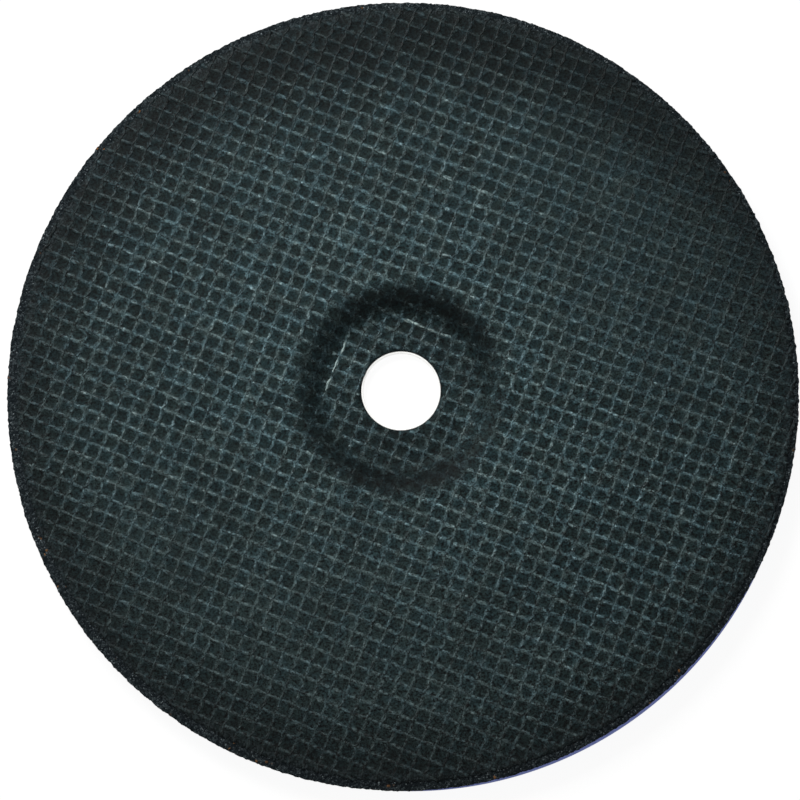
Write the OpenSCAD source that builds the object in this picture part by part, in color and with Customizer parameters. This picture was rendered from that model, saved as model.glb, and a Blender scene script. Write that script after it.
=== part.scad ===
// Cut-off wheel with a depressed centre: pressed abrasive disc, woven glass fabric on the working face,
// paper label on the back and a drawn steel ring in the bore. Millimetres, recess side up, axis on Z.

/* [Wheel] */
// Outside diameter of the wheel
wheel_d = 230; // [200:1:240]
// Overall thickness of the wheel, fabric included
wheel_t = 3; // [2:0.1:5]
// Rounding of the moulded rim edges
rim_round = 0.35; // [0.1:0.05:0.6]

/* [Depressed centre] */
// Diameter of the recess floor, where the sloping wall starts
recess_d = 45; // [42:0.5:60]
// Depth of the recess below the working face
recess_depth = 5; // [3:0.1:8]
// Slope of the recess wall, from the face
wall_angle = 40; // [30:1:55]
// Radius of the hollow between floor and wall
floor_round = 5; // [3:0.5:8]
// Radius of the shoulder between wall and face
face_round = 11; // [6:0.5:14]

/* [Glass fabric] */
// Height of the threads above the abrasive
fabric_t = 0.55; // [0.3:0.05:0.9]
// Resin left at the bottom of each mesh opening
film_t = 0.12; // [0.08:0.01:0.2]
// Bare abrasive between the fabric and the rim
bare_band = 2; // [0.5:0.1:6]
// Spacing of the warp threads
warp_pitch = 4.2; // [3.8:0.05:8]
// Spacing of the weft threads
weft_pitch = 4.3; // [3.8:0.05:8]
// Direction of the warp threads, from X
warp_angle = 68.7; // [45:0.1:135]
// Direction of the weft threads, from X
weft_angle = -21.8; // [-45:0.1:0]
// Offset of the warp threads from the axis, in pitches
warp_shift = 0.1; // [0:0.01:1]
// Offset of the weft threads from the axis, in pitches
weft_shift = 0.76; // [0:0.01:1]

/* [Paper label] */
// Thickness of the paper
label_t = 0.2; // [0.1:0.05:0.4]
// How much smaller than the wheel the label's radius is
label_inset = 3.5; // [2:0.1:12]
// How far off centre the label was laid
label_offset = 4.3; // [0:0.1:6]
// Direction in which the label is off centre, from X
label_angle = -58; // [-180:1:180]
// Space between the label's hole and the ring's flange
label_gap = 2; // [0.5:0.1:5]

/* [Bore ring] */
// Bore of the wheel, which fits the spindle
bore_d = 22.23; // [16:0.01:25.4]
// Thickness of the ring's sheet steel
ring_t = 0.6; // [0.3:0.05:0.8]
// Outside diameter of the ring's flange
flange_d = 32; // [28:0.5:36]
// How far the sleeve stops below the abrasive of the recess floor
sleeve_drop = 0.45; // [0:0.05:0.8]
// Space all round between the sleeve and the abrasive
ring_gap = 0.05; // [0.01:0.01:0.1]
// Rounding of the flange's outer edge
flange_round = 0.3; // [0.1:0.05:0.5]

/* [Hidden] */
$fn = 96;
wheel_r = wheel_d / 2;
fabric_r = wheel_r - bare_band;
open_r = bore_d / 2 + ring_t + ring_gap;
back_depth = wheel_t;
floor_z = ring_t + wheel_t;
face_z = floor_z + recess_depth;
sleeve_h = floor_z - fabric_t - sleeve_drop;
half_tan = tan(wall_angle / 2);
wall_run = recess_depth / tan(wall_angle);
wall_length = recess_depth / sin(wall_angle);
// Both roundings shrink together where the wall is too short for them
round_fit = min(1, 0.95 * wall_length / ((floor_round + face_round) * half_tan));
hollow_r = floor_round * round_fit;
shoulder_r = face_round * round_fit;
hollow_c = [recess_d / 2 - hollow_r * half_tan, floor_z + hollow_r];
shoulder_c = [recess_d / 2 + wall_run + shoulder_r * half_tan, face_z - shoulder_r];
// Limits that lie clear of every solid
clear_z = face_z + wheel_t;
clear_r = wheel_r + label_offset;
// Flats in each bend of the dish and in each rounded edge
bend_steps = 8;
round_steps = 4;
weft_dir = [cos(weft_angle), sin(weft_angle)];
warp_dir = [cos(warp_angle), sin(warp_angle)];
weave_sine = sin(warp_angle - weft_angle);
// The weave reaches past the fabric's edge, where it is trimmed round
trim = 2 * fabric_t;
reach = ceil((fabric_r + trim) / min(warp_pitch, weft_pitch)) + 2;
side = 2 * reach + 1;
keel_z = face_z - 2 * fabric_r * (fabric_t + wheel_t) / trim;

// Height, at a radius, of a surface that follows the dish at a depth below the tops of the threads
function surface_z(r, depth) =
    let (hollow = hollow_r + depth, shoulder = shoulder_r - depth, wall_r = recess_d / 2 + depth * half_tan)
    r < hollow_c.x ? floor_z - depth :
    r < hollow_c.x + hollow * sin(wall_angle) ? hollow_c.y - sqrt(hollow ^ 2 - (r - hollow_c.x) ^ 2) :
    r < shoulder_c.x - shoulder * sin(wall_angle) ? floor_z - depth + (r - wall_r) * tan(wall_angle) :
    r < shoulder_c.x ? shoulder_c.y + sqrt(shoulder ^ 2 - (r - shoulder_c.x) ^ 2) :
    face_z - depth;

// Outline of such a surface from the axis outwards, between two radii
function dish(depth, inner_r, outer_r) =
    let (
        hollow = [for (k = [0 : bend_steps]) let (a = wall_angle * k / bend_steps)
            hollow_c + (hollow_r + depth) * [sin(a), -cos(a)]],
        shoulder = [for (k = [bend_steps : -1 : 0]) let (a = wall_angle * k / bend_steps)
            shoulder_c + (shoulder_r - depth) * [-sin(a), cos(a)]]
    )
    [
        [inner_r, surface_z(inner_r, depth)],
        for (p = concat(hollow, shoulder)) if (p.x > inner_r && p.x < outer_r) p,
        [outer_r, surface_z(outer_r, depth)]
    ];
function backwards(points) = [for (k = [len(points) - 1 : -1 : 0]) points[k]];

// Quarter turn round a corner that is open to the right, from a start angle
function corner(centre, r, start) =
    [for (k = [0 : round_steps]) let (a = start + 90 * k / round_steps) centre + r * [cos(a), sin(a)]];

// Crossing of two threads, and the middle of the mesh opening next to it
function weave_point(i, j) =
    ((i + warp_shift) * warp_pitch * weft_dir + (j + weft_shift) * weft_pitch * warp_dir) / weave_sine;
function raised(p, depth) = [p.x, p.y, surface_z(norm(p), depth)];
function cell_used(i, j) =
    min([for (a = [0, 1], b = [0, 1]) norm(weave_point(i + a, j + b))]) < fabric_r + trim;
function crossing_index(i, j) = (i + reach) * side + j + reach;

// Ridges along every thread with a hollow in every opening, closed far below by a point on the axis
module weave_relief() {
    span = [-reach : reach];
    crossings = [for (i = span, j = span) raised(weave_point(i, j), 0)];
    openings = [for (i = span, j = span) raised(weave_point(i + 0.5, j + 0.5), fabric_t - film_t)];
    keel = 2 * side * side;
    corners = [[0, 0], [1, 0], [1, 1], [0, 1]];
    outward = [[0, -1], [1, 0], [0, 1], [-1, 0]];
    cells = [for (i = [-reach : reach - 1], j = [-reach : reach - 1]) if (cell_used(i, j)) [i, j]];
    slopes = [
        for (c = cells, k = [0 : 3])
        let (a = c + corners[k], b = c + corners[(k + 1) % 4])
        [side * side + crossing_index(c.x, c.y), crossing_index(b.x, b.y), crossing_index(a.x, a.y)]
    ];
    flanks = [
        for (c = cells, k = [0 : 3])
        let (a = c + corners[k], b = c + corners[(k + 1) % 4], n = c + outward[k])
        if (!cell_used(n.x, n.y)) [keel, crossing_index(a.x, a.y), crossing_index(b.x, b.y)]
    ];
    polyhedron(concat(crossings, openings, [[0, 0, keel_z]]), concat(slopes, flanks));
}

module abrasive_body() {
    inset_r = wheel_r - rim_round;
    color([0.13, 0.13, 0.13]) rotate_extrude() polygon(concat(
        dish(back_depth, open_r, inset_r),
        corner([inset_r, face_z - back_depth + rim_round], rim_round, -90),
        corner([inset_r, face_z - fabric_t - rim_round], rim_round, 0),
        backwards(dish(fabric_t, open_r, inset_r))
    ));
}

module glass_fabric() {
    color([0.2, 0.27, 0.28]) intersection() {
        weave_relief();
        rotate_extrude()
            polygon(concat(dish(fabric_t, open_r, fabric_r), [[fabric_r, clear_z], [open_r, clear_z]]));
    }
}

module paper_label() {
    hole_r = flange_d / 2 + label_gap;
    color([0.2, 0.25, 0.62]) intersection() {
        rotate_extrude() polygon(concat(
            dish(back_depth + label_t, hole_r, clear_r),
            backwards(dish(back_depth, hole_r, clear_r))
        ));
        translate(label_offset * [cos(label_angle), sin(label_angle), 0])
            cylinder(h = face_z, r = wheel_r - label_inset);
    }
}

module bore_ring() {
    bore_r = bore_d / 2;
    sleeve_r = bore_r + ring_t;
    edge_r = flange_d / 2;
    color([0.75, 0.75, 0.73]) rotate_extrude() polygon(concat(
        [[bore_r, 0]],
        corner([edge_r - flange_round, flange_round], flange_round, -90),
        [[edge_r, ring_t], [sleeve_r, ring_t], [sleeve_r, sleeve_h], [bore_r, sleeve_h]]
    ));
}

abrasive_body();
glass_fabric();
paper_label();
bore_ring();
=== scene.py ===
import math

import bmesh
import bpy
import numpy as np
from bpy.props import FloatProperty, FloatVectorProperty, PointerProperty
from mathutils import Matrix, Vector, noise


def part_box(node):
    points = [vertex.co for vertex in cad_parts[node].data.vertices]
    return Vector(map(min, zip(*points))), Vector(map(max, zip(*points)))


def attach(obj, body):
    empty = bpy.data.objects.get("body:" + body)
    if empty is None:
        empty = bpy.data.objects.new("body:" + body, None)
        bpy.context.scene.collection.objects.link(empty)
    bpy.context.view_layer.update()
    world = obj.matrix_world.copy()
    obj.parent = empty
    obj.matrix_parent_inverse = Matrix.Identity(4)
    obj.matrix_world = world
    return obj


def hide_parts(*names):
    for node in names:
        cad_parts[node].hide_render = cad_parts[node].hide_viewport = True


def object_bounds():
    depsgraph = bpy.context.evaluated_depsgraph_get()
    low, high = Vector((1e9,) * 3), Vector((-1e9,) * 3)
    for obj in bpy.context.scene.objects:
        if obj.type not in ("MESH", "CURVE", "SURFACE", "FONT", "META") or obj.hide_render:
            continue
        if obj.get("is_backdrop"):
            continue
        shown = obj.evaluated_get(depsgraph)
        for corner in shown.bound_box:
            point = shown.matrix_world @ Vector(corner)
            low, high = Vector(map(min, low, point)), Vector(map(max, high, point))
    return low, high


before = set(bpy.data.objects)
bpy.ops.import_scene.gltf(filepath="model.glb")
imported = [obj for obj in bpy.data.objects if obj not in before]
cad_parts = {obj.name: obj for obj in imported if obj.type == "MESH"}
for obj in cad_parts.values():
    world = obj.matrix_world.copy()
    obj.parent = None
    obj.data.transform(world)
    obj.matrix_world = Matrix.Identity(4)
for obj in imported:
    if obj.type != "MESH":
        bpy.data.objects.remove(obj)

bl_info = {
    "name": "Cut-off wheel",
    "version": (1, 0, 0),
    "blender": (4, 5, 0),
    "location": "View3D > Sidebar > Wheel",
    "description": "Dresses a depressed-centre cut-off wheel: grit, glass fabric, paper and bore ring",
    "category": "Add Mesh",
}

CAD_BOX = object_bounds()
MM = 0.001
TURN = 2 * math.pi
FABRIC_LOW, FABRIC_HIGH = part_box("glass_fabric")
BODY_LOW, BODY_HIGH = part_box("abrasive_body")
LABEL_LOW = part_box("paper_label")[0]
RING_LOW, RING_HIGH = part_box("bore_ring")
FACE_MIDDLE = Vector((0, 0, FABRIC_HIGH.z))

# Vertices closer than this become one
WELD = 0.0005 * MM

# How fine the meshes are: rows of a section, steps of a turn, rounded edge or pitch, sides of a strand
FLOOR_ROWS = 4
ROUND_STEPS = 4
ABRASIVE_BEND_ROWS = 10
ABRASIVE_FACE_ROWS = 4
RIM_FRONT_ROWS = 9
RIM_BACK_ROWS = 16
RIM_WALL_ROWS = 7
ABRASIVE_STEPS = 1300
LABEL_BEND_ROWS = 22
LABEL_FACE_ROWS = 24
LABEL_STEPS = 480
RING_STEPS = 240
RESIN_STEPS_A_PITCH = 4
STRAND_STEPS_A_PITCH = 6
STRAND_SIDES = 6

# Grit of the bare abrasive: its reach under fabric and paper, and its noise in waves a millimetre
GRIT_LAP = 1.5 * MM
GRIT_FADE = 1 * MM
GRIT_WAVES = 1.1
FINE_GRIT_WAVES = 2.7
FINE_GRIT_SHARE = 0.6
GRIT_SINK = 0.35
# A vertex whose normal points further down than this is on the back
BACK_NORMAL_Z = -0.3

# Resin of the fabric: depth of an opening and rise to the threads in millimetres, thickness and ragged edge
RESIN_DEPTH = 0.46
RESIN_RISE = 0.25
RESIN_T = 0.2 * MM
RESIN_TRIM = 0.1 * MM
RAGGED = 0.5 * MM
RAGGED_SINK = 0.2 * MM
RAGGED_WAVES = 0.8

# Fabric sunk into the recess wall: full past its foot, ended past its shoulder, and the length of the fade
SINK_FULL = 2 * MM
SINK_END = 1 * MM
SINK_FADE = 5 * MM

# Strands: half heights, and how each changes along its length, with the length of the waves
WEFT_HALF = 0.14 * MM
WARP_HALF = 0.13 * MM
FRAY = 1 * MM
WANDER_SHARES = (1.0, 0.57, 0.31)
WIDTH_CHANGE = 0.3
WIDTH_WAVE = 11 * MM
WEFT_PINCH = 0.15
WEFT_DRIFT = 0.13 * MM
WARP_DRIFT = 0.11 * MM
DRIFT_WAVE = 34 * MM
RIPPLE = 0.06 * MM
RIPPLE_WAVE = 7 * MM
CREST_CHANGE = 0.06
CREST_WAVE = 9 * MM
SWING_CHANGE = 0.5
SWING_WAVE = 41 * MM
WEFT_SEED = 11
# Depth of the weft's tops, how much deeper they dip at a crossing, and their least depth, in millimetres
WEFT_CREST = 0.12
WEFT_DIP = 0.04
WEFT_LEAST = 0.01
# The two strands of a warp: seed, share of the swing, depth of the tops and its wave in millimetres
WARP_STRANDS = {
    "warp_threads": (21, 1.0, 0.12, -0.05),
    "ground_threads": (41, -0.3, 0.2, 0.06),
}

# Edges of the steel ring that are sharper than this are rounded
SHARP_ANGLE = math.radians(30)
RING_BEVEL = 0.1 * MM
RING_BEVEL_STEPS = 3

# Floor: half its side, how far it lies under the wheel, and the shade and glow that the camera sees
FLOOR_REACH = 3.0
FLOOR_DROP = 0.02 * MM
FLOOR_SHADE = (0.11, 0.11, 0.11)
FLOOR_GLOW = 0.92
# Key lamp's place and the camera's direction from the middle of the working face, and the camera's framing
KEY_STAND = Vector((-0.24, 0.36, 0.42))
SIGHT = Vector((0.037, -0.101, 1)).normalized()
SENSOR_WIDTH = 36.0
SHIFT_X = -0.0002
SHIFT_Y = -0.0141
CLIP_START = 0.01

# Radii in millimetres at which a change of the fabric starts and ends
WALL_FOOT = (21.5, 26.5)
WALL_TOP = (28.0, 33.0)
FLOOR_END = (19.0, 34.0)
MID_FACE = (34.0, 84.0)
OUTER_FACE = (88.0, 122.0)
RIM_SHEEN_LOSS = (90, 112)
RIM_SPECKLE = (85, 112)
BEND_START = (18.8, 20.0)
BEND_END = (22.0, 23.0)
# The outer face darkens in an oval whose middle lies off the axis, partly from resin and partly as a painted
# fall of the light
OVAL_STRETCH = (1.0, 1.1, 0)
OVAL_SHIFT = (-2.5, 4.5, 0)
# Spots where the threads lose their painted sheen and the fabric's contrast is evened out: middle, radius of
# the full loss and its end, in millimetres
SHEENLESS_SPOTS = (
    ((88, 50, 0), 30, 77),
    ((-15, -92, 0), 25, 85),
    ((-78, -62, 0), 12, 48),
)
# Recess floor: share of paleness lost as painted shade, and how much more to a side as painted light and
# shade, between two distances in millimetres
RECESS_FLOOR_SHADE = 0.36
RECESS_FLOOR_SIDE_LIGHT = (
    (-0.2, (-0.9, 0.4), -4.0, 12.0),
    (0.12, (0.45, 0.89), 10.0, 16.0),
    (-0.08, (1, 0), 6.0, 15.0),
    (0.07, (-0.6, -0.8), 4.0, 14.0),
)
# Recess wall: share of paleness lost as painted shade, more at top and bottom, and what a side adds as
# painted light and shade between two cosines
WALL_SHADE = 0.4
UPRIGHT_WALL_SHADE = 0.16
WALL_SIDE_LIGHT = (
    (0.16, (0.6, 0.8), 0.4, 0.95),
    (-0.25, (0.98, -0.17), 0.66, 0.97),
    (0.12, (0, -1), 0.5, 1.0),
    (-0.09, (-1, 0.2), 0.6, 1.0),
)
# Hues that the resin aged to
WARM_HUE = (1.07, 1.0, 0.955)
COOL_HUE = (0.93, 1.0, 1.045)
# Mesh opening: shares of the spacing, how square it is, and how far its outline strays in millimetres
OPENING_WARP = 0.9
OPENING_WEFT = 0.96
OPENING_POWER = 2.4
OPENING_STRAY = 2.2
# Paleness of the threads, and the painted light that they gain or lose towards the top of the face
WEFT_PALENESS_AND_LIGHT = (1.06, 0.14)
WARP_PALENESS_AND_LIGHT = (0.92, -0.26)
# Band where the fabric sinks into the grit, and where the paper's edge is painted paler as light, in
# millimetres from the edge
EDGE_BAND = 4
EDGE_LIGHT_START = 1.8
EDGE_LIGHT_END = 0.8
# Radii in millimetres between which the ring's bright sleeve gives way to its duller flange
SLEEVE_END = (11.3, 11.9)


def length(name, description, millimetres):
    """A size, written in millimetres and kept in metres."""
    return FloatProperty(
        name=name,
        description=description,
        default=millimetres * MM,
        subtype="DISTANCE",
        unit="LENGTH",
        precision=5,
    )


def angle(name, description, degrees):
    """An angle, written in degrees and kept in radians."""
    turn = math.radians(degrees)
    return FloatProperty(name=name, description=description, default=turn, subtype="ANGLE", unit="ROTATION")


def number(name, description, value):
    return FloatProperty(name=name, description=description, default=value)


def colour(name, description, value):
    return FloatVectorProperty(
        name=name, description=description, default=value, size=3, min=0.0, max=1.0, subtype="COLOR"
    )


class WheelSizes(bpy.types.PropertyGroup):
    """Sizes of the wheel that the frame's boxes don't give"""

    recess_d: length("Recess diameter", "Diameter of the recess floor", 45)
    wall_angle: angle("Wall slope", "Slope of the recess wall, from the face", 40)
    floor_round: length("Floor hollow", "Radius of the hollow between floor and wall", 5)
    face_round: length("Face shoulder", "Radius of the shoulder between wall and face", 11)
    rim_round: length("Rim rounding", "Radius of the moulded rim edges", 0.35)
    bore_d: length("Bore", "Diameter that fits the spindle", 22.23)
    ring_gap: length("Ring gap", "Space between the ring's sleeve and the abrasive", 0.05)
    label_gap: length("Label gap", "Space between the label's hole and the ring's flange", 2)
    label_inset: length("Label inset", "How much smaller than the wheel the label's radius is", 3.6)
    label_offset: length("Label offset", "How far off centre the label was laid", 4.5)
    label_angle: angle("Label direction", "Direction in which the label is off centre", -58)
    warp_pitch: length("Warp spacing", "Spacing of the warp threads", 4.178)
    weft_pitch: length("Weft spacing", "Spacing of the weft threads", 4.2785)
    warp_angle: angle("Warp direction", "Direction of the warp threads, from X", 68.7)
    weft_angle: angle("Weft direction", "Direction of the weft threads, from X", -21.8)
    warp_shift: number("Warp offset", "Offset of the warp from the axis, in pitches", 0.12)
    weft_shift: number("Weft offset", "Offset of the weft from the axis, in pitches", 0.64)
    warp_bow: length("Warp bow", "How far a warp thread bends aside between its middle and its end", 0.42)
    weft_bow: length("Weft bow", "How far a weft thread bends aside between its middle and its end", 1.28)
    fabric_offset: length("Fabric offset", "How far off centre the fabric was laid", 0.7)
    fabric_angle: angle("Fabric direction", "Direction in which the fabric is off centre", 35)
    weft_width: length("Weft width", "Width of a flattened weft thread", 1.04)
    warp_width: length("Warp width", "Width of each of the two strands of a warp thread", 0.7)
    leno_swing: length("Leno swing", "How far the crossing strand of a warp swings to each side", 0.26)
    wall_sink: length("Sunk wall fabric", "How far the fabric sinks into the resin of the recess wall", 0.13)
    grit_height: length("Grit height", "How far the grains stand out of the bare abrasive", 0.3)


class WheelColours(bpy.types.PropertyGroup):
    """Colours of the wheel's finishes"""

    grain: colour("Grain", "Bare abrasive grain", (0.0048, 0.007, 0.0083))
    worn_grain: colour("Worn grain", "Grain scuffed grey", (0.031, 0.04, 0.0435))
    chip: colour("Chips", "Pale chips in the abrasive", (0.09, 0.107, 0.112))
    rust: colour("Rusty chips", "Brown grains in the abrasive", (0.13, 0.062, 0.024))
    # Dark resin of the openings, also carrying painted shade of the sunk openings
    pit_and_shade: colour("Mesh openings", "Dark resin in the openings of the fabric", (0.0091, 0.0178, 0.0187))
    resin: colour("Resin", "Resin drawn up along the threads", (0.0297, 0.0477, 0.0509))
    thread: colour("Glass thread", "Resin-coated glass threads", (0.0515, 0.0845, 0.0907))
    filament: colour("Bare filaments", "Glass filaments that the resin left bare", (0.156, 0.222, 0.235))
    # Rubbed glass at the bend, paled further as a painted glint
    bare_glass_and_glint: colour("Bare glass", "Threads rubbed clean at the bend of the recess", (0.34, 0.44, 0.43))
    label: colour("Label", "Plain paper on the back", (0.08, 0.11, 0.55))
    # Paler paper: scuffed fibre in patches, and painted light on the label's edge
    label_wear_and_edge_light: colour("Label wear", "Scuffed fibre of the paper", (0.38, 0.46, 1.0))
    steel: colour("Ring steel", "Bright sheet steel of the bore ring", (0.86, 0.86, 0.84))
    floor: colour("Floor", "Plain studio floor", (0.8, 0.8, 0.8))


class WheelStudio(bpy.types.PropertyGroup):
    """Camera and light"""

    lens: number("Lens", "Focal length in millimetres", 91.0)
    distance: length("Camera distance", "From the middle of the working face", 586)
    key_level: number("Key level", "Light from the key lamp, where 1 shows colours as written", 0.8)
    fill_level: number("Fill level", "Light from all round", 0.36)
    key_size: length("Key size", "Side of the square key lamp", 260)


class Dish:
    """Heights of the dished wheel, by radius and by depth below the tops of the threads."""

    def __init__(self, sizes):
        self.fabric_t = FABRIC_HIGH.z - BODY_HIGH.z
        self.face_z = FABRIC_HIGH.z
        self.floor_z = FABRIC_LOW.z + self.fabric_t
        self.back_depth = self.floor_z - BODY_LOW.z
        self.label_depth = self.floor_z - LABEL_LOW.z
        self.rim_r = BODY_HIGH.x
        self.fabric_r = FABRIC_HIGH.x
        self.ring_t = BODY_LOW.z - RING_LOW.z
        self.bore_r = sizes.bore_d / 2
        self.open_r = self.bore_r + self.ring_t + sizes.ring_gap
        self.hole_r = self.open_r + RESIN_TRIM
        self.slope = sizes.wall_angle
        self.recess_r = sizes.recess_d / 2
        self.half_tan = math.tan(self.slope / 2)
        self.hollow_r = sizes.floor_round
        self.shoulder_r = sizes.face_round
        hollow_x = self.recess_r - self.hollow_r * self.half_tan
        self.hollow_c = Vector((hollow_x, self.floor_z + self.hollow_r))
        wall_run = (self.face_z - self.floor_z) / math.tan(self.slope)
        shoulder_x = self.recess_r + wall_run + self.shoulder_r * self.half_tan
        self.shoulder_c = Vector((shoulder_x, self.face_z - self.shoulder_r))

    def height(self, r, depth):
        hollow = self.hollow_r + depth
        shoulder = self.shoulder_r - depth
        wall_r = self.recess_r + depth * self.half_tan
        hollow_end = self.hollow_c.x + hollow * math.sin(self.slope)
        wall_end = self.shoulder_c.x - shoulder * math.sin(self.slope)
        hollow_drop = np.sqrt(np.maximum(hollow ** 2 - (r - self.hollow_c.x) ** 2, 0))
        shoulder_rise = np.sqrt(np.maximum(shoulder ** 2 - (r - self.shoulder_c.x) ** 2, 0))
        return np.select(
            [r < self.hollow_c.x, r < hollow_end, r < wall_end, r < self.shoulder_c.x],
            [
                self.floor_z - depth,
                self.hollow_c.y - hollow_drop,
                self.floor_z - depth + (r - wall_r) * math.tan(self.slope),
                self.shoulder_c.y + shoulder_rise,
            ],
            self.face_z - depth,
        )

    def sunk(self, r, sink):
        """How far the fabric is pressed into the resin, which is only on the recess wall."""
        rise = np.clip((r - self.hollow_c.x) / (self.recess_r + SINK_FULL - self.hollow_c.x), 0, 1)
        fall = np.clip((self.shoulder_c.x + SINK_END - r) / SINK_FADE, 0, 1)
        return sink * rise * fall

    def stations(self, inner_r, outer_r, bend_rows, face_rows):
        """Radii that follow the bends of the dish, with evenly spaced rows on the flat face."""
        bend_start = self.hollow_c.x
        bend_end = self.shoulder_c.x
        floor = np.linspace(inner_r, bend_start, FLOOR_ROWS)[:-1]
        bend = np.linspace(bend_start, bend_end, bend_rows)
        face = np.linspace(bend_end, outer_r, face_rows)[1:]
        return np.concatenate([floor, bend, face])


class Weave:
    """Lattice of the leno fabric, along weft (a) and warp (b), a little bowed."""

    def __init__(self, sizes):
        self.weft_dir = Vector((math.cos(sizes.weft_angle), math.sin(sizes.weft_angle)))
        self.warp_dir = Vector((math.cos(sizes.warp_angle), math.sin(sizes.warp_angle)))
        self.across_warp = (self.warp_dir.y, -self.warp_dir.x)
        self.across_weft = (-self.weft_dir.y, self.weft_dir.x)
        self.sine = math.sin(sizes.warp_angle - sizes.weft_angle)
        self.cosine = math.cos(sizes.warp_angle - sizes.weft_angle)
        self.warp_pitch = sizes.warp_pitch
        self.weft_pitch = sizes.weft_pitch
        self.warp_shift = sizes.warp_shift
        self.weft_shift = sizes.weft_shift
        self.warp_bow = sizes.warp_bow / FABRIC_HIGH.x ** 2
        self.weft_bow = sizes.weft_bow / FABRIC_HIGH.x ** 2
        off_x = sizes.fabric_offset * math.cos(sizes.fabric_angle)
        off_y = sizes.fabric_offset * math.sin(sizes.fabric_angle)
        self.centre = Vector((off_x, off_y))
        self.centre_a = self.centre.dot(self.weft_dir)
        self.centre_b = self.centre.dot(self.warp_dir)

    def across(self, phase):
        """Distance along the weft of a number of warp spacings."""
        return (phase + self.warp_shift) * self.warp_pitch / self.sine

    def up(self, phase):
        """Distance along the warp of a number of weft spacings."""
        return (phase + self.weft_shift) * self.weft_pitch / self.sine

    def across_phase(self, a):
        return a * self.sine / self.warp_pitch - self.warp_shift

    def up_phase(self, b):
        return b * self.sine / self.weft_pitch - self.weft_shift

    def point(self, a, b):
        bent_a = a + self.warp_bow * b ** 2
        bent_b = b + self.weft_bow * a ** 2
        x = bent_a * self.weft_dir.x + bent_b * self.warp_dir.x
        y = bent_a * self.weft_dir.y + bent_b * self.warp_dir.y
        return x, y

    def span(self, offset, r, along=0.0, across=0.0):
        """Start and end of the line at an offset in a circle, whose middle may lie along and across it."""
        gap = (offset - across) * self.sine
        middle = along - (offset - across) * self.cosine
        half = math.sqrt(max(r ** 2 - gap ** 2, 0))
        return middle - half, middle + half

    def runs(self, offset, hole_r, edge_r, along, across):
        """Stretches of the line at an offset between the hole and the fabric's edge, which is off centre."""
        start, end = self.span(offset, edge_r, along, across)
        hole_start, hole_end = self.span(offset, hole_r)
        if hole_start < hole_end:
            return [(start, hole_start), (hole_end, end)]
        return [(start, end)] if start < end else []


class Socket:
    """A shader socket that takes part in Python expressions."""

    def __init__(self, finish, link):
        self.finish = finish
        self.link = link

    def other(self, name):
        """Another output of the same node."""
        return Socket(self.finish, self.link.node.outputs[name])

    def math(self, operation, first, second):
        return self.finish.node("ShaderNodeMath", {"operation": operation}, {0: first, 1: second})

    def at_least(self, other):
        """The larger of two values."""
        return self.math("MAXIMUM", self, other)

    def __add__(self, other):
        return self.math("ADD", self, other)

    def __radd__(self, other):
        return self.math("ADD", other, self)

    def __sub__(self, other):
        return self.math("SUBTRACT", self, other)

    def __rsub__(self, other):
        return self.math("SUBTRACT", other, self)

    def __mul__(self, other):
        return self.math("MULTIPLY", self, other)

    def __rmul__(self, other):
        return self.math("MULTIPLY", other, self)

    def __truediv__(self, other):
        return self.math("DIVIDE", self, other)

    def __pow__(self, other):
        return self.math("POWER", self, other)


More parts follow.
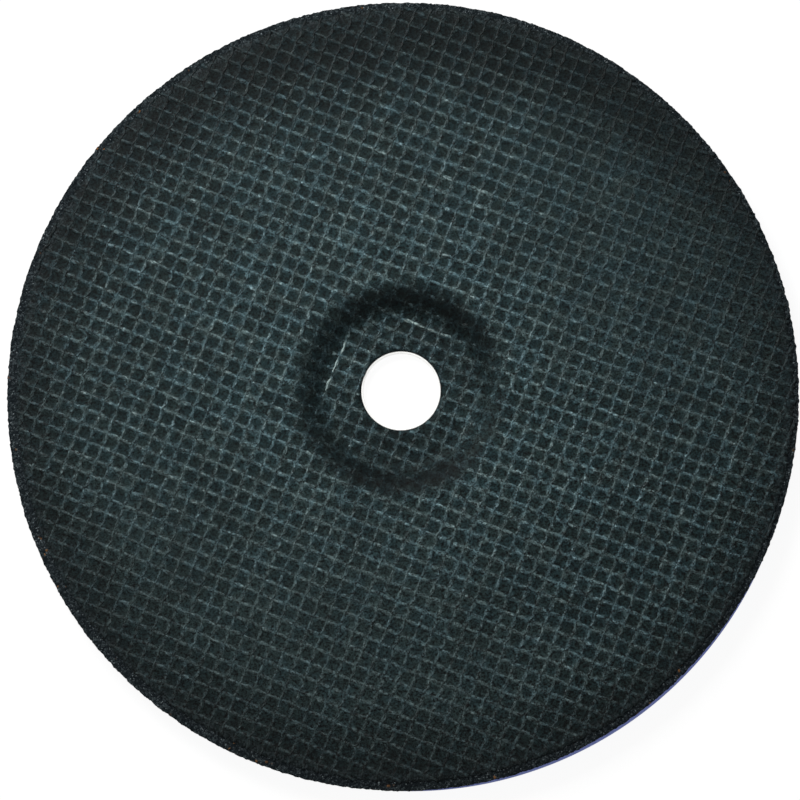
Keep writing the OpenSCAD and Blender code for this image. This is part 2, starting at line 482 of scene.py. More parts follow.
class Finish:
    """A procedural node tree, built one node at a time."""

    def __init__(self, tree):
        self.tree = tree
        self.tree.nodes.clear()

    def node(self, kind, settings=None, values=None, out=0):
        made = self.tree.nodes.new(kind)
        for key, value in (settings or {}).items():
            setattr(made, key, value)
        for key, value in (values or {}).items():
            if isinstance(value, Socket):
                self.tree.links.new(value.link, made.inputs[key])
            else:
                made.inputs[key].default_value = value
        return Socket(self, made.outputs[out]) if made.outputs else made

    def vector(self, operation, *values, out=0):
        """Vector maths on values in their order."""
        return self.node("ShaderNodeVectorMath", {"operation": operation}, dict(enumerate(values)), out)

    def scaled(self, vector, amount):
        """Vector or colour times an amount."""
        return self.node("ShaderNodeVectorMath", {"operation": "SCALE"}, {0: vector, "Scale": amount})

    def millimetres(self):
        """Object coordinates in millimetres."""
        return self.scaled(self.node("ShaderNodeTexCoord", out="Object"), 1 / MM)

    def radius(self, place):
        """Distance from the wheel's axis."""
        return self.vector("LENGTH", self.vector("MULTIPLY", place, (1, 1, 0)), out="Value")

    def far_from(self, place, middle):
        """Level distance from a point."""
        return self.radius(self.vector("SUBTRACT", place, middle))

    def along(self, place, direction):
        """How far a place lies along a level direction."""
        return self.vector("DOT_PRODUCT", place, (*direction, 0), out="Value")

    def fade(self, value, start, end):
        """Smooth step from 0 at the start to 1 at the end."""
        limits = {"Value": value, "From Min": start, "From Max": end}
        return self.node("ShaderNodeMapRange", {"interpolation_type": "SMOOTHSTEP"}, limits)

    def towards(self, place, direction, start, end):
        """Smooth step along a level direction, between two distances from the axis."""
        return self.fade(self.along(place, direction), start, end)

    def mottle(self, place, scale, detail=2.0, roughness=0.5):
        """Cloudy noise, about 0 to 1, with features a scale-th of a millimetre across."""
        values = {"Vector": place, "Scale": scale, "Detail": detail, "Roughness": roughness}
        return self.node("ShaderNodeTexNoise", None, values, out="Fac")

    def streaks(self, place, direction, across, stretch):
        """Noise drawn out along a direction, such as filaments in a thread."""
        turned = self.node(
            "ShaderNodeMapping",
            {"vector_type": "TEXTURE"},
            {"Vector": place, "Rotation": (0, 0, direction), "Scale": (stretch, 1, 1)},
        )
        return self.mottle(turned, across, 2.0, 0.6)

    def cells(self, place, scale):
        """Random cells: distance from the middle, and a random colour for each."""
        return self.node("ShaderNodeTexVoronoi", None, {"Vector": place, "Scale": scale}, out="Distance")

    def chance(self, cells, channel="Red"):
        """A random number for each cell."""
        return self.node("ShaderNodeSeparateColor", None, {"Color": cells.other("Color")}, out=channel)

    def mix(self, mask, first, second):
        """Colour that goes from the first to the second with a mask."""
        settings = {"data_type": "RGBA", "clamp_factor": True}
        return self.node("ShaderNodeMix", settings, {0: mask, 6: solid(first), 7: solid(second)}, out=2)

    def bump(self, height, strength, distance):
        """Normal raised by a height in steps of a distance."""
        values = {"Height": height, "Strength": strength, "Distance": distance}
        return self.node("ShaderNodeBump", None, values)

    def surface(self, **sockets):
        """Ends the tree in a principled shader."""
        values = {name.replace("_", " "): solid(value) for name, value in sockets.items()}
        shader = self.node("ShaderNodeBsdfPrincipled", None, values)
        self.node("ShaderNodeOutputMaterial", None, {"Surface": shader})


def solid(value):
    """A colour with its alpha; any other value stays as it is."""
    if isinstance(value, (Socket, float, int)):
        return value
    return (*value, 1.0)


def new_finish(name):
    material = bpy.data.materials.new(name)
    material.use_nodes = True
    return material, Finish(material.node_tree)


def abrasive_finish(colours):
    """Black grain with paler and rusty chips, each grain with its own facet, and painted light towards the
    top and lower left.
    """
    material, f = new_finish("bonded_grit")
    place = f.millimetres()
    grain = f.cells(place, 1.6)
    fine = f.cells(place, 3.1)
    clouds = f.mottle(place, 0.12)
    worn = f.fade(f.chance(grain), 0.25, 1.0) * f.fade(f.chance(fine, "Blue"), 0.1, 0.9)
    chip = f.fade(f.chance(fine), 0.9, 0.98) * f.fade(f.chance(fine, "Green"), 0.1, 0.8)
    rust = f.fade(f.chance(grain, "Blue"), 0.965, 0.99) * f.fade(clouds, 0.56, 0.66)
    base = f.mix(worn, colours.grain, colours.worn_grain)
    base = f.mix(chip, base, colours.chip)
    base = f.mix(rust, base, colours.rust)
    # Painted light: the grain paler towards the top and the lower left of the rim
    painted_top_light = 0.28 * f.towards(place, (0.35, 0.94), -60, 90)
    painted_lower_left_light = 0.25 * f.towards(place, (-0.85, -0.5), 50, 110)
    height = (1 - grain) + 0.5 * (1 - fine)
    f.surface(
        Base_Color=f.scaled(base, 1 + (painted_top_light + painted_lower_left_light)),
        Roughness=0.9 - 0.35 * f.chance(grain, "Green"),
        Specular_IOR_Level=0.03,
        Normal=f.bump(height, 0.8, 0.25 * MM),
    )
    return material


def fabric_tone_and_shade(f, place):
    """How pale the fabric is, and where the recess wall is.

    It is less pale towards its edge, partly where resin flowed over it and partly as a painted fall of the
    light, and it carries painted shade on the recess floor and wall, lighter or darker to a side as painted
    light.
    """
    r = f.radius(place)
    outwards = f.radius(f.vector("MULTIPLY_ADD", place, OVAL_STRETCH, OVAL_SHIFT))
    wall = f.fade(r, *WALL_FOOT) * (1 - f.fade(r, *WALL_TOP))
    # Painted shade on the recess floor, lighter or darker to a side as painted light
    recess_floor_shade = RECESS_FLOOR_SHADE
    for share, direction, start, end in RECESS_FLOOR_SIDE_LIGHT:
        recess_floor_shade = recess_floor_shade + share * f.towards(place, direction, start, end)
    # Less pale towards the edge: partly resin, partly a painted fall of the light
    spread = 1 - 0.22 * f.fade(r, *MID_FACE) - 0.54 * f.fade(outwards, *OUTER_FACE)
    spread = spread - recess_floor_shade * (1 - f.fade(r, *FLOOR_END))
    patchy = 0.15 + 0.6 * f.towards(place, (-0.85, 0.5), -50, 50)
    patches = 0.75 + 0.5 * f.mottle(place, 0.055, 3.0) + patchy * (f.mottle(place, 0.12) - 0.5)
    # Painted shade on the recess wall, more at top and bottom, lighter or darker to a side as painted light
    upright = f.along(place, (0, 1)) / r
    wall_shade = WALL_SHADE + UPRIGHT_WALL_SHADE * upright * upright
    for share, direction, start, end in WALL_SIDE_LIGHT:
        wall_shade = wall_shade + share * f.fade(f.along(place, direction) / r, start, end)
    return spread * patches * (1 - wall_shade * wall), wall


def painted_sheen_loss(f, place):
    """Painted light: 1 in the middle of the spots where the threads lose their painted sheen, half as much
    near the rim, and more at the upper right of the rim.
    """
    most = 0.5 * f.fade(f.radius(place), *RIM_SHEEN_LOSS)
    for middle, full_r, end_r in SHEENLESS_SPOTS:
        most = most.at_least(1 - f.fade(f.far_from(place, middle), full_r, end_r))
    return most + 0.7 * f.towards(place, (0.85, 0.53), 77, 102)


def fabric_edge(f, place, weave):
    """1 at the outer edge of the fabric, where its threads sink into the grit."""
    edge_r = FABRIC_HIGH.x / MM
    middle = (weave.centre.x / MM, weave.centre.y / MM, 0)
    return f.fade(f.far_from(place, middle), edge_r - EDGE_BAND, edge_r)


def lattice(f, place, weave):
    """Distances from the nearest warp and weft lines, in pitches, and a chance for each opening."""
    wobble = f.node("ShaderNodeTexNoise", None, {"Vector": place, "Scale": 0.6, "Detail": 3.0}, out="Color")
    centred = f.vector("SUBTRACT", wobble, (0.5, 0.5, 0.5))
    moved = f.vector("MULTIPLY_ADD", centred, (OPENING_STRAY, OPENING_STRAY, 0), place)
    bent_a = f.along(moved, weave.across_warp)
    bent_b = f.along(moved, weave.across_weft)
    a = bent_a - bent_b * bent_b * (weave.warp_bow * MM)
    b = bent_b - bent_a * bent_a * (weave.weft_bow * MM)
    across = a / (weave.warp_pitch / MM) - weave.warp_shift
    up = b / (weave.weft_pitch / MM) - weave.weft_shift
    counts = {0: across.math("FLOOR", across, 0.0), 1: up.math("FLOOR", up, 0.0)}
    opening = {"Vector": f.node("ShaderNodeCombineXYZ", None, counts)}
    chance = f.node("ShaderNodeTexWhiteNoise", {"noise_dimensions": "2D"}, opening, out="Value")
    return across.math("PINGPONG", across, 0.5), up.math("PINGPONG", up, 0.5), chance


def aged(f, place, base, amount):
    """Colour made paler or darker by an amount, cool in some places and warm in others."""
    cool = f.fade(f.mottle(place, 0.3), 0.36, 0.64) - 0.35 * f.towards(place, (-0.4, -0.92), 10, 90)
    return f.scaled(f.vector("MULTIPLY", base, f.mix(cool, WARM_HUE, COOL_HUE)), amount)


def speckle(f, place):
    """Fine unevenness of the resin, about 1 on the whole, stronger towards the rim and the lower right."""
    blotches = f.fade(f.mottle(place, 1.1, 3.0, 0.8), 0.34, 0.66) - 0.5
    grains = f.chance(f.cells(place, 2.6)) - 0.5
    specks = f.chance(f.cells(place, 3.7)) - 0.5
    strength = 1.03 + 0.32 * f.towards(place, (0.8, -0.6), -50, 90)
    strength = strength + 0.35 * f.fade(f.radius(place), *RIM_SPECKLE)
    strength = strength - 0.22 * f.towards(place, (0.75, 0.66), 20, 95)
    uneven = 1 + strength * (1.2 * blotches + 0.75 * grains + 0.65 * specks)
    return uneven.at_least(0.05)


def resin_finish(colours, sizes):
    """Dark resin in the openings, partly painted shade of the sunk openings, drawn up towards the threads of
    the fabric.
    """
    material, f = new_finish("fabric_resin")
    place = f.millimetres()
    weave = Weave(sizes)
    off_warp, off_weft, chance = lattice(f, place, weave)
    opening_u = OPENING_WARP * (0.5 - off_warp)
    opening_v = OPENING_WEFT * (0.5 - off_weft)
    spread = (opening_u ** OPENING_POWER + opening_v ** OPENING_POWER) ** (1 / OPENING_POWER)
    # Tone of the fabric, with its painted shade and light
    tone_and_shade, wall = fabric_tone_and_shade(f, place)
    sheen_loss = painted_sheen_loss(f, place)
    edge = fabric_edge(f, place, weave)
    uneven = 0.45 + 1.1 * f.mottle(place, 0.3, 3.0, 0.6)
    drawn = f.fade(spread + 0.16 * (chance - 0.5), 0.26, 0.5) * (1 - 0.6 * wall) * uneven
    # Painted sheen taken away: the resin's contrast is evened out in those spots
    drawn = drawn * (1 - 0.42 * sheen_loss) + 0.19 * sheen_loss
    warp_streak = f.streaks(place, sizes.warp_angle, 1.5, 4.0) * (1 - f.fade(off_warp, 0.08, 0.22))
    weft_streak = f.streaks(place, sizes.weft_angle, 1.5, 4.0) * (1 - f.fade(off_weft, 0.08, 0.22))
    fibre = f.fade(warp_streak.at_least(weft_streak), 0.42, 0.66) * (1 - 0.8 * wall)
    # Painted glint: a thin line of light along the resin's fillet round each opening
    fillet_glint = f.fade(spread, 0.3, 0.37) * (1 - f.fade(spread, 0.4, 0.47))
    fillet_glint = fillet_glint * f.fade(f.mottle(place, 0.5), 0.45, 0.65)
    # Dark openings: the resin's own colour and painted shade
    base = f.mix(drawn, colours.pit_and_shade, colours.resin)
    base = f.mix((fibre * 0.6 + fillet_glint * 0.5) * (1 - 0.5 * sheen_loss), base, colours.thread)
    base = aged(f, place, base, tone_and_shade * speckle(f, place) * (0.89 + 0.22 * chance))
    base = f.mix(0.2 * edge, base, colours.grain)
    bared = f.fade(f.chance(f.cells(place, 2.4), "Green"), 0.5, 0.95)
    base = f.mix(0.75 * edge * bared, base, colours.worn_grain)
    grit = f.mottle(place, 2.2, 3.0, 0.7)
    f.surface(
        Base_Color=base,
        Roughness=0.7 - 0.2 * grit,
        Specular_IOR_Level=0.06,
        Normal=f.bump(0.6 * grit + 0.9 * drawn, 0.5, 0.2 * MM),
    )
    return material


def thread_finish(name, colours, sizes, direction, paleness_and_light):
    """Glass filaments in a thread, soaked in resin that leaves some of them bare."""
    material, f = new_finish(name)
    place = f.millimetres()
    crown = f.node("ShaderNodeAttribute", {"attribute_name": "crown"}, out="Fac")
    # Tone of the fabric, with its painted shade and light
    tone_and_shade, wall = fabric_tone_and_shade(f, place)
    edge = fabric_edge(f, place, Weave(sizes))
    streak = f.streaks(place, direction, 1.7, 5.0)
    soak = f.mottle(place, 0.45, 3.0, 0.65)
    # Painted sheen taken away from the threads in spots
    shown = f.fade(crown, 0.05, 0.85) * f.fade(soak, 0.34, 0.6) * (1 - 0.58 * painted_sheen_loss(f, place))
    rubbed = f.fade(f.mottle(place, 0.75), 0.42, 0.62)
    bare = f.fade(streak, 0.47, 0.66) * rubbed * shown
    base = f.mix(shown, colours.resin, colours.thread)
    base = f.mix(bare * (1 - 0.8 * wall), base, colours.filament)
    # Painted light: threads paler or darker towards the top, as the light falls on them
    middle, painted_top_light = paleness_and_light
    pale = middle + painted_top_light * f.towards(place, (0, 1), 20, 95)
    base = aged(f, place, base, tone_and_shade * speckle(f, place) * pale)
    # Threads rubbed clean along the bend, with a painted glint
    clean = bend_wear_and_glint(f, place, direction) * f.fade(streak, 0.36, 0.56) * crown
    base = f.mix(clean, base, colours.bare_glass_and_glint)
    base = f.mix(0.2 * edge, base, colours.grain)
    f.surface(
        Base_Color=base,
        Roughness=0.6 - 0.2 * shown,
        Specular_IOR_Level=0.1,
        Normal=f.bump(streak + 0.6 * f.mottle(place, 3.0), 0.5, 0.12 * MM),
    )
    return material


def bend_wear_and_glint(f, place, direction):
    """1 where a thread lies along the bend of the recess, rubbed clean and with a painted glint, most at the
    upper left towards the light.
    """
    r = f.radius(place)
    bend = f.fade(r, *BEND_START) * (1 - f.fade(r, *BEND_END))
    along = f.along(place, (math.cos(direction), math.sin(direction)))
    tangent = 1 - f.fade(along.math("ABSOLUTE", along, 0.0), 6.0, 12.0)
    side = 0.3 + 0.7 * f.towards(place, (-0.5, 0.85), 0.0, 10.0)
    return bend * tangent * side * f.fade(f.mottle(place, 0.35), 0.4, 0.58)


def label_finish(colours, sizes):
    """Plain blue paper, pressed over the fabric behind it, scuffed in patches, with painted light on its
    edge.
    """
    material, f = new_finish("label_paper")
    place = f.millimetres()
    weave = Weave(sizes)
    warp_line = f.along(place, weave.across_warp) / (weave.warp_pitch / MM)
    weft_line = f.along(place, weave.across_weft) / (weave.weft_pitch / MM)
    off_warp = warp_line.math("PINGPONG", warp_line, 0.5)
    off_weft = weft_line.math("PINGPONG", weft_line, 0.5)
    dent = f.fade(off_warp, 0.1, 0.3) * f.fade(off_weft, 0.1, 0.3)
    fibre = f.mottle(place, 1.8, 4.0, 0.7)
    clouds = f.mottle(place, 0.05, 3.0)
    rub = f.fade(f.mottle(place, 0.28, 4.0, 0.65), 0.6, 0.78) * (0.2 + 0.5 * (1 - dent))
    # Darker in clouds of the paper, and as painted shade in the dents of the fabric's imprint
    clouded_and_dent_shade = tuple(0.72 * part for part in colours.label)
    base = f.mix(0.55 * clouds + 0.3 * dent, colours.label, clouded_and_dent_shade)
    aim = Vector((math.cos(sizes.label_angle), math.sin(sizes.label_angle), 0))
    label_r = (BODY_HIGH.x - sizes.label_inset) / MM
    from_middle = f.far_from(place, aim * sizes.label_offset / MM)
    # Painted light on the edge of the paper
    edge = f.fade(from_middle, label_r - EDGE_LIGHT_START, label_r - EDGE_LIGHT_END)
    base = f.mix(rub * 0.5 + 0.85 * edge, base, colours.label_wear_and_edge_light)
    f.surface(
        Base_Color=base,
        Roughness=0.5 + 0.25 * fibre,
        Specular_IOR_Level=0.35,
        Normal=f.bump(0.25 * fibre - dent, 0.5, 0.25 * MM),
    )
    return material


def steel_finish(colours):
    """Bright pressed steel with fine marks round the axis, duller on the flange."""
    material, f = new_finish("ring_steel")
    place = f.millimetres()
    r = f.radius(place)
    turned = {"W": r * 9.0, "Detail": 3.0}
    lines = f.node("ShaderNodeTexNoise", {"noise_dimensions": "1D"}, turned, out="Fac")
    marks = f.mottle(place, 0.7, 3.0)
    flange = f.fade(r, *SLEEVE_END)
    dull = tuple(0.4 * part for part in colours.steel)
    base = f.mix(flange * (0.5 + 0.4 * f.fade(marks, 0.35, 0.7) + 0.25 * lines), colours.steel, dull)
    f.surface(
        Base_Color=base,
        Metallic=1.0,
        Roughness=0.2 + 0.16 * lines + 0.1 * marks + 0.16 * flange,
        Normal=f.bump(lines, 0.15, 0.05 * MM),
    )
    return material


def places(bm):
    """Coordinates of all vertices, as one array."""
    return np.array([v.co[:] for v in bm.verts])


def move(bm, points):
    for vertex, point in zip(bm.verts, points):
        vertex.co = point


def weld(bm):
    bmesh.ops.remove_doubles(bm, verts=bm.verts, dist=WELD)


def add_piece(bm, name, node, material):
    """Closes the mesh and makes it a piece of the wheel that stands for a CAD node."""
    weld(bm)
    bmesh.ops.recalc_face_normals(bm, faces=bm.faces)
    mesh = bpy.data.meshes.new(name)
    bm.to_mesh(mesh)
    bm.free()
    mesh.materials.append(material)
    mesh.shade_smooth()
    piece = bpy.data.objects.new(name, mesh)
    bpy.context.scene.collection.objects.link(piece)
    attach(piece, "root")
    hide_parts(node)


def spun(outline, steps):
    """Closed section, as radii and heights, spun round the wheel's axis."""
    bm = bmesh.new()
    corners = [bm.verts.new((r, 0, z)) for r, z in outline]
    edges = [bm.edges.new((corner, after)) for corner, after in zip(corners, corners[1:] + corners[:1])]
    bmesh.ops.spin(
        bm, geom=corners + edges, cent=(0, 0, 0), axis=(0, 0, 1), angle=TURN, steps=steps, use_merge=True
    )
    return bm


def wrapped(outline, steps):
    """Closed section like a spun one, wrapped from one grid, for a fine mesh of many steps."""
    bm = bmesh.new()
    rows = len(outline)
    place = Matrix.Translation((0.5, 0.5, 0))
    bmesh.ops.create_grid(bm, x_segments=steps, y_segments=rows, size=0.5, matrix=place)
    turn, row, _ = places(bm).T
    section = np.array(outline)[np.rint(row * rows).astype(int) % rows]
    r, z = section.T
    move(bm, np.column_stack([r * np.cos(TURN * turn), r * np.sin(TURN * turn), z]))
    weld(bm)
    return bm


def quarter(centre_r, centre_z, radius, start):
    """Rounded edge of a section, a quarter turn from a start angle."""
    turns = [start + k * math.pi / 2 / ROUND_STEPS for k in range(ROUND_STEPS + 1)]
    return [(centre_r + radius * math.cos(t), centre_z + radius * math.sin(t)) for t in turns]


def gritty_side(dish, depth, bare_r, end_r, bare_rows):
    """Section of one side of the abrasive, with close rows where it is bare."""
    covered = dish.stations(dish.open_r, bare_r, ABRASIVE_BEND_ROWS, ABRASIVE_FACE_ROWS)
    rows = np.concatenate([covered, np.linspace(bare_r, end_r, bare_rows)[1:-1]])
    return list(zip(rows, dish.height(rows, depth)))


def wander(seed, numbers, along, wavelength):
    """Smooth random course, about -1 to 1, of its own for each numbered strand."""
    spread = np.random.default_rng(seed)
    index = np.rint(numbers - numbers.min()).astype(int)
    total = np.zeros(len(along))
    for share in WANDER_SHARES:
        starts = spread.uniform(0, TURN, index.max() + 1)
        total += np.sin(TURN * along / (wavelength * share) + starts[index])
    return total / 2


def thread_lines(dish, weave, pitch, offset, along, across):
    """Runs of a set of threads, each with its number; an offset is worked out from the number."""
    reach = math.ceil(dish.fabric_r / pitch) + 1
    return [
        (line, run)
        for line in range(-reach, reach + 1)
        for run in weave.runs(offset(line), dish.hole_r, dish.fabric_r, along, across)
    ]


def frayed(lines, seed):
    """Runs cut short by a random bit at each end, as the threads of a punched fabric are."""
    spread = np.random.default_rng(seed)
    for line, (start, end) in lines:
        yield line, (start + spread.uniform(0, FRAY), end - spread.uniform(0, FRAY))


def strand_grids(lines, pitch):
    """One flat grid for each run: length along X, the turn round the strand along Y, its number as Z."""
    bm = bmesh.new()
    step = pitch / STRAND_STEPS_A_PITCH
    for line, (start, end) in lines:
        count = max(3, math.ceil((end - start) / step))
        stretch = Matrix.Diagonal((end - start, 1, 1, 1))
        place = Matrix.Translation(((start + end) / 2, 0.5, line)) @ stretch
        bmesh.ops.create_grid(bm, x_segments=count, y_segments=STRAND_SIDES, size=0.5, matrix=place)
    return bm


def strand_width(width, seed, line, along):
    """Width of strands that swell and thin along their length."""
    return width * (1 + WIDTH_CHANGE * wander(seed, line, along, WIDTH_WAVE))


def strand_course(drift, seed, line, along):
    """How far strands stray aside: a long drift and a short ripple."""
    stray = drift * wander(seed + 1, line, along, DRIFT_WAVE)
    return stray + RIPPLE * wander(seed + 4, line, along, RIPPLE_WAVE)


def strand_crest(depth, wave, seed, line, along):
    """Depth of the tops of strands, in millimetres, with a given wave."""
    return depth + wave + CREST_CHANGE * wander(seed + 2, line, along, CREST_WAVE)


def lay_strands(bm, dish, place, crest, half, rise, wall_sink):
    """Lays grids on the dish as closed strands, and keeps how high on its strand each vertex lies."""
    x, y = place
    r = np.hypot(x, y)
    depth = crest + half * (1 - rise) + dish.sunk(r, wall_sink)
    layer = bm.verts.layers.float.new("crown")
    for vertex, value in zip(bm.verts, np.maximum(rise, 0)):
        vertex[layer] = value
    move(bm, np.column_stack([x, y, dish.height(r, depth)]))
    weld(bm)
    ends = [edge for edge in bm.edges if edge.is_boundary]
    bmesh.ops.holes_fill(bm, edges=ends, sides=STRAND_SIDES)


class WHEEL_OT_abrasive(bpy.types.Operator):
    """Pressed abrasive disc with a gritty bare rim"""

    bl_idname = "wheel.abrasive"
    bl_label = "Abrasive disc"

    def execute(self, context):
        sizes = context.scene.wheel_sizes
        dish = Dish(sizes)
        rounding = sizes.rim_round
        inset_r = dish.rim_r - rounding
        band_r = dish.fabric_r - GRIT_LAP
        bare_back_r = dish.rim_r - sizes.label_inset - sizes.label_offset - GRIT_LAP
        front = gritty_side(dish, dish.fabric_t, band_r, inset_r, RIM_FRONT_ROWS)
        back = gritty_side(dish, dish.back_depth, bare_back_r, inset_r, RIM_BACK_ROWS)
        top_z = dish.face_z - dish.fabric_t - rounding
        low_z = dish.face_z - dish.back_depth + rounding
        top_edge = quarter(inset_r, top_z, rounding, 0)
        low_edge = quarter(inset_r, low_z, rounding, -math.pi / 2)
        wall = [(dish.rim_r, z) for z in np.linspace(low_z, top_z, RIM_WALL_ROWS)[1:-1]]
        bm = wrapped(back + low_edge + wall + top_edge + front[::-1], ABRASIVE_STEPS)
        bmesh.ops.recalc_face_normals(bm, faces=bm.faces)
        bm.normal_update()
        for vertex in bm.verts:
            bare_r = band_r if vertex.normal.z > BACK_NORMAL_Z else bare_back_r
            bare = min(1.0, max(0.0, (vertex.co.to_2d().length - bare_r) / GRIT_FADE))
            if bare > 0:
                grains = vertex.co / MM
                fine = FINE_GRIT_SHARE * noise.noise(grains * FINE_GRIT_WAVES)
                rise = noise.noise(grains * GRIT_WAVES) + fine
                vertex.co += vertex.normal * (rise - GRIT_SINK) * bare * sizes.grit_height
        material = abrasive_finish(context.scene.wheel_colours)
        add_piece(bm, "abrasive_disc", "abrasive_body", material)
        return {"FINISHED"}


class WHEEL_OT_resin(bpy.types.Operator):
    """Resin that fills the glass fabric, sunk in every opening"""

    bl_idname = "wheel.resin"
    bl_label = "Fabric resin"

    def execute(self, context):
        sizes = context.scene.wheel_sizes
        dish = Dish(sizes)
        weave = Weave(sizes)
        edge_r = dish.fabric_r - RESIN_TRIM
        reach = math.ceil(dish.fabric_r / min(weave.warp_pitch, weave.weft_pitch)) + 1
        count = 2 * reach * RESIN_STEPS_A_PITCH
        bm = bmesh.new()
        bmesh.ops.create_grid(bm, x_segments=count, y_segments=count, size=reach)
        across, up, _ = places(bm).T
        x, y = weave.point(weave.across(across), weave.up(up))
        ridge_warp = np.cos(math.pi * across) ** 2
        ridge_weft = np.cos(math.pi * up) ** 2
        ridge = 1 - (1 - ridge_warp) * (1 - ridge_weft)
        depth = (RESIN_DEPTH - RESIN_RISE * ridge) * MM
        move(bm, np.column_stack([x, y, dish.height(np.hypot(x, y), depth)]))
        outside = []
        for face in bm.faces:
            here = face.calc_center_median().to_2d()
            if here.length < dish.hole_r or (here - weave.centre).length > edge_r:
                outside.append(face)
        bmesh.ops.delete(bm, geom=outside, context="FACES")
        for vertex in bm.verts:
            if vertex.is_boundary:
                here = vertex.co.to_2d()
                ragged = RAGGED * noise.noise(vertex.co / MM * RAGGED_WAVES) - RAGGED_SINK
                if here.length > dish.recess_r:
                    here = weave.centre + (here - weave.centre).normalized() * (edge_r + ragged)
                else:
                    here = here.normalized() * max(dish.hole_r + ragged, dish.hole_r)
                vertex.co = (here.x, here.y, float(dish.height(np.array(here.length), RESIN_DEPTH * MM)))
        under = bmesh.ops.extrude_face_region(bm, geom=bm.faces[:], use_keep_orig=True)["geom"]
        lower = [part for part in under if isinstance(part, bmesh.types.BMVert)]
        bmesh.ops.translate(bm, verts=lower, vec=(0, 0, -RESIN_T))
        material = resin_finish(context.scene.wheel_colours, sizes)
        add_piece(bm, "fabric_resin", "glass_fabric", material)
        return {"FINISHED"}


class WHEEL_OT_weft(bpy.types.Operator):
    """Straight weft threads of the leno fabric"""

    bl_idname = "wheel.weft"
    bl_label = "Weft threads"

    def execute(self, context):
        sizes = context.scene.wheel_sizes
        colours = context.scene.wheel_colours
        dish = Dish(sizes)
        weave = Weave(sizes)
        lines = thread_lines(dish, weave, weave.weft_pitch, weave.up, weave.centre_a, weave.centre_b)
        bm = strand_grids(frayed(lines, WEFT_SEED + 3), weave.warp_pitch)
        a, turn, line = places(bm).T
        crossing = np.cos(TURN * weave.across_phase(a))
        side = -np.sin(TURN * turn)
        rise = -np.cos(TURN * turn)
        width = strand_width(sizes.weft_width, WEFT_SEED, line, a) * (1 - WEFT_PINCH * crossing)
        course = strand_course(WEFT_DRIFT, WEFT_SEED, line, a)
        crest = strand_crest(WEFT_CREST, WEFT_DIP * crossing, WEFT_SEED, line, a)
        crest = np.maximum(crest, WEFT_LEAST) * MM
        place = weave.point(a, weave.up(line) + course + side * width / 2)
        lay_strands(bm, dish, place, crest, WEFT_HALF, rise, sizes.wall_sink)
        material = thread_finish("weft_glass", colours, sizes, sizes.weft_angle, WEFT_PALENESS_AND_LIGHT)
        add_piece(bm, "weft_threads", "glass_fabric", material)
        return {"FINISHED"}


class WHEEL_OT_warp(bpy.types.Operator):
    """Warp threads of two strands that swing past each other between the wefts"""

    bl_idname = "wheel.warp"
    bl_label = "Warp threads"

    def execute(self, context):
        sizes = context.scene.wheel_sizes
        colours = context.scene.wheel_colours
        dish = Dish(sizes)
        weave = Weave(sizes)
        lines = thread_lines(dish, weave, weave.warp_pitch, weave.across, weave.centre_b, weave.centre_a)
        material = thread_finish("warp_glass", colours, sizes, sizes.warp_angle, WARP_PALENESS_AND_LIGHT)
        for name, (seed, share, crest_depth, crest_wave) in WARP_STRANDS.items():
            bm = strand_grids(frayed(lines, seed), weave.weft_pitch)
            b, turn, line = places(bm).T
            crossing = np.cos(TURN * weave.up_phase(b))
            side = -np.sin(TURN * turn)
            rise = -np.cos(TURN * turn)
            width = strand_width(sizes.warp_width, seed, line, b)
            swing = share * sizes.leno_swing * (1 + SWING_CHANGE * wander(seed + 3, line, b, SWING_WAVE))
            course = strand_course(WARP_DRIFT, seed, line, b) - swing * crossing
            crest = strand_crest(crest_depth, crest_wave * crossing, seed, line, b)
            crest = np.maximum(crest, 0.0) * MM
            place = weave.point(weave.across(line) + course + side * width / 2, b)
            lay_strands(bm, dish, place, crest, WARP_HALF, rise, sizes.wall_sink)
            add_piece(bm, name, "glass_fabric", material)
        return {"FINISHED"}


class WHEEL_OT_label(bpy.types.Operator):
    """Plain paper disc on the back, laid a little off centre"""

    bl_idname = "wheel.label"
    bl_label = "Paper label"

    def execute(self, context):
        sizes = context.scene.wheel_sizes
        dish = Dish(sizes)
        hole_r = RING_HIGH.x + sizes.label_gap
        label_r = dish.rim_r - sizes.label_inset
        rows = dish.stations(hole_r, label_r, LABEL_BEND_ROWS, LABEL_FACE_ROWS)
        bm = wrapped([(r, 0) for r in rows] + [(r, 1) for r in rows[::-1]], LABEL_STEPS)
        x, y, upper = places(bm).T
        r = np.hypot(x, y)
        turn = np.arctan2(y, x)
        lean = turn - sizes.label_angle
        offset = sizes.label_offset
        edge = offset * np.cos(lean) + np.sqrt(label_r ** 2 - (offset * np.sin(lean)) ** 2)
        flat_r = dish.shoulder_c.x
        stretched = flat_r + (r - flat_r) * (edge - flat_r) / (label_r - flat_r)
        r = np.where(r > flat_r, stretched, r)
        depth = np.where(upper > 0.5, dish.back_depth, dish.label_depth)
        move(bm, np.column_stack([r * np.cos(turn), r * np.sin(turn), dish.height(r, depth)]))
        material = label_finish(context.scene.wheel_colours, sizes)
        add_piece(bm, "label_sheet", "paper_label", material)
        return {"FINISHED"}


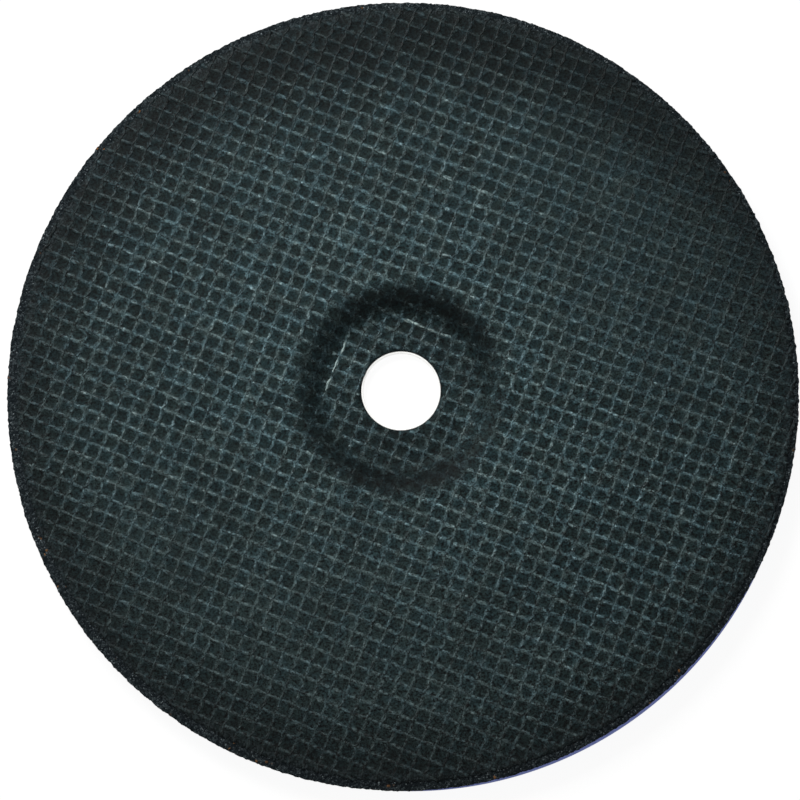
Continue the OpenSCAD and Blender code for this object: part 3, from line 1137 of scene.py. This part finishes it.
class WHEEL_OT_ring(bpy.types.Operator):
    """Drawn steel ring that lines the bore"""

    bl_idname = "wheel.ring"
    bl_label = "Bore ring"

    def execute(self, context):
        dish = Dish(context.scene.wheel_sizes)
        sleeve_r = dish.bore_r + dish.ring_t
        outline = [
            (dish.bore_r, RING_LOW.z),
            (RING_HIGH.x, RING_LOW.z),
            (RING_HIGH.x, dish.ring_t),
            (sleeve_r, dish.ring_t),
            (sleeve_r, RING_HIGH.z),
            (dish.bore_r, RING_HIGH.z),
        ]
        bm = spun(outline, RING_STEPS)
        weld(bm)
        bmesh.ops.recalc_face_normals(bm, faces=bm.faces)
        bmesh.ops.bevel(
            bm,
            geom=[edge for edge in bm.edges if edge.calc_face_angle(0) > SHARP_ANGLE],
            offset=RING_BEVEL,
            segments=RING_BEVEL_STEPS,
            profile=0.5,
            affect="EDGES",
            material=-1,
            clamp_overlap=True,
        )
        add_piece(bm, "steel_ring", "bore_ring", steel_finish(context.scene.wheel_colours))
        return {"FINISHED"}


class WHEEL_OT_stage(bpy.types.Operator):
    """Pale floor, soft studio light and the camera"""

    bl_idname = "wheel.stage"
    bl_label = "Stage"

    def execute(self, context):
        scene = context.scene
        studio = scene.wheel_studio
        self.add_floor(scene)
        self.add_world(scene, studio)
        self.add_key(scene, studio)
        self.add_camera(scene, studio)
        scene.view_settings.view_transform = "Standard"
        return {"FINISHED"}

    def seen_direct(self, f):
        """1 for rays that show the background as it is: camera, reflections and glass."""
        path = f.node("ShaderNodeLightPath", out="Is Camera Ray")
        return path.at_least(path.other("Is Glossy Ray")).at_least(path.other("Is Transmission Ray"))

    def add_floor(self, scene):
        bm = bmesh.new()
        drop = Matrix.Translation((0, 0, -FLOOR_DROP))
        bmesh.ops.create_grid(bm, x_segments=2, y_segments=2, size=FLOOR_REACH, matrix=drop)
        mesh = bpy.data.meshes.new("floor")
        bm.to_mesh(mesh)
        bm.free()
        material, f = new_finish("studio_floor")
        plain = f.node("ShaderNodeBsdfDiffuse", None, {"Color": solid(scene.wheel_colours.floor)})
        shaded = f.node("ShaderNodeBsdfDiffuse", None, {"Color": solid(FLOOR_SHADE)})
        glow = f.node("ShaderNodeEmission", None, {"Strength": FLOOR_GLOW})
        bright = f.node("ShaderNodeAddShader", None, {0: shaded, 1: glow})
        seen = self.seen_direct(f)
        shader = f.node("ShaderNodeMixShader", None, {0: seen, 1: plain, 2: bright})
        f.node("ShaderNodeOutputMaterial", None, {"Surface": shader})
        mesh.materials.append(material)
        floor = bpy.data.objects.new("floor", mesh)
        scene.collection.objects.link(floor)
        floor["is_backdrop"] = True

    def add_world(self, scene, studio):
        world = bpy.data.worlds.new("studio")
        world.use_nodes = True
        f = Finish(world.node_tree)
        strength = studio.fill_level + self.seen_direct(f) * (1 - studio.fill_level)
        sky = f.node("ShaderNodeBackground", None, {"Color": (1, 1, 1, 1), "Strength": strength})
        f.node("ShaderNodeOutputWorld", None, {"Surface": sky})
        scene.world = world

    def add_key(self, scene, studio):
        lamp = bpy.data.lights.new("key", "AREA")
        lamp.shape = "SQUARE"
        lamp.size = studio.key_size
        slant = KEY_STAND.z / KEY_STAND.length
        lamp.energy = studio.key_level * math.pi ** 2 * KEY_STAND.length_squared / slant
        key = bpy.data.objects.new("key", lamp)
        key.location = FACE_MIDDLE + KEY_STAND
        key.rotation_euler = KEY_STAND.to_track_quat("Z", "Y").to_euler()
        scene.collection.objects.link(key)

    def add_camera(self, scene, studio):
        lens = bpy.data.cameras.new("camera")
        lens.lens = studio.lens
        lens.sensor_width = SENSOR_WIDTH
        lens.shift_x = SHIFT_X
        lens.shift_y = SHIFT_Y
        lens.clip_start = CLIP_START
        camera = bpy.data.objects.new("camera", lens)
        camera.location = FACE_MIDDLE + SIGHT * studio.distance
        camera.rotation_euler = Vector((0, 0, 1)).rotation_difference(SIGHT).to_euler()
        scene.collection.objects.link(camera)
        scene.camera = camera


class WHEEL_PT_sidebar(bpy.types.Panel):
    """Pieces of the wheel and the values behind them"""

    bl_idname = "WHEEL_PT_sidebar"
    bl_label = "Cut-off wheel"
    bl_space_type = "VIEW_3D"
    bl_region_type = "UI"
    bl_category = "Wheel"

    def draw(self, context):
        for operator in OPERATORS:
            self.layout.operator(operator.bl_idname)
        for key, group in GROUPS.items():
            box = self.layout.box()
            for value in group.__annotations__:
                box.prop(getattr(context.scene, key), value)


GROUPS = {"wheel_sizes": WheelSizes, "wheel_colours": WheelColours, "wheel_studio": WheelStudio}
OPERATORS = (
    WHEEL_OT_abrasive,
    WHEEL_OT_resin,
    WHEEL_OT_weft,
    WHEEL_OT_warp,
    WHEEL_OT_label,
    WHEEL_OT_ring,
    WHEEL_OT_stage,
)
CLASSES = (*GROUPS.values(), *OPERATORS, WHEEL_PT_sidebar)


def register():
    for cls in CLASSES:
        bpy.utils.register_class(cls)
    for key, group in GROUPS.items():
        setattr(bpy.types.Scene, key, PointerProperty(type=group))


def unregister():
    for key in GROUPS:
        delattr(bpy.types.Scene, key)
    for cls in reversed(CLASSES):
        bpy.utils.unregister_class(cls)


def main():
    register()
    bpy.ops.wheel.abrasive()
    bpy.ops.wheel.resin()
    bpy.ops.wheel.weft()
    bpy.ops.wheel.warp()
    bpy.ops.wheel.label()
    bpy.ops.wheel.ring()
    bpy.ops.wheel.stage()
    boxes = {"cad": CAD_BOX, "visual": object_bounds()}
    plain = {key: [[float(part) for part in corner] for corner in box] for key, box in boxes.items()}


if __name__ == "__main__":
    main()
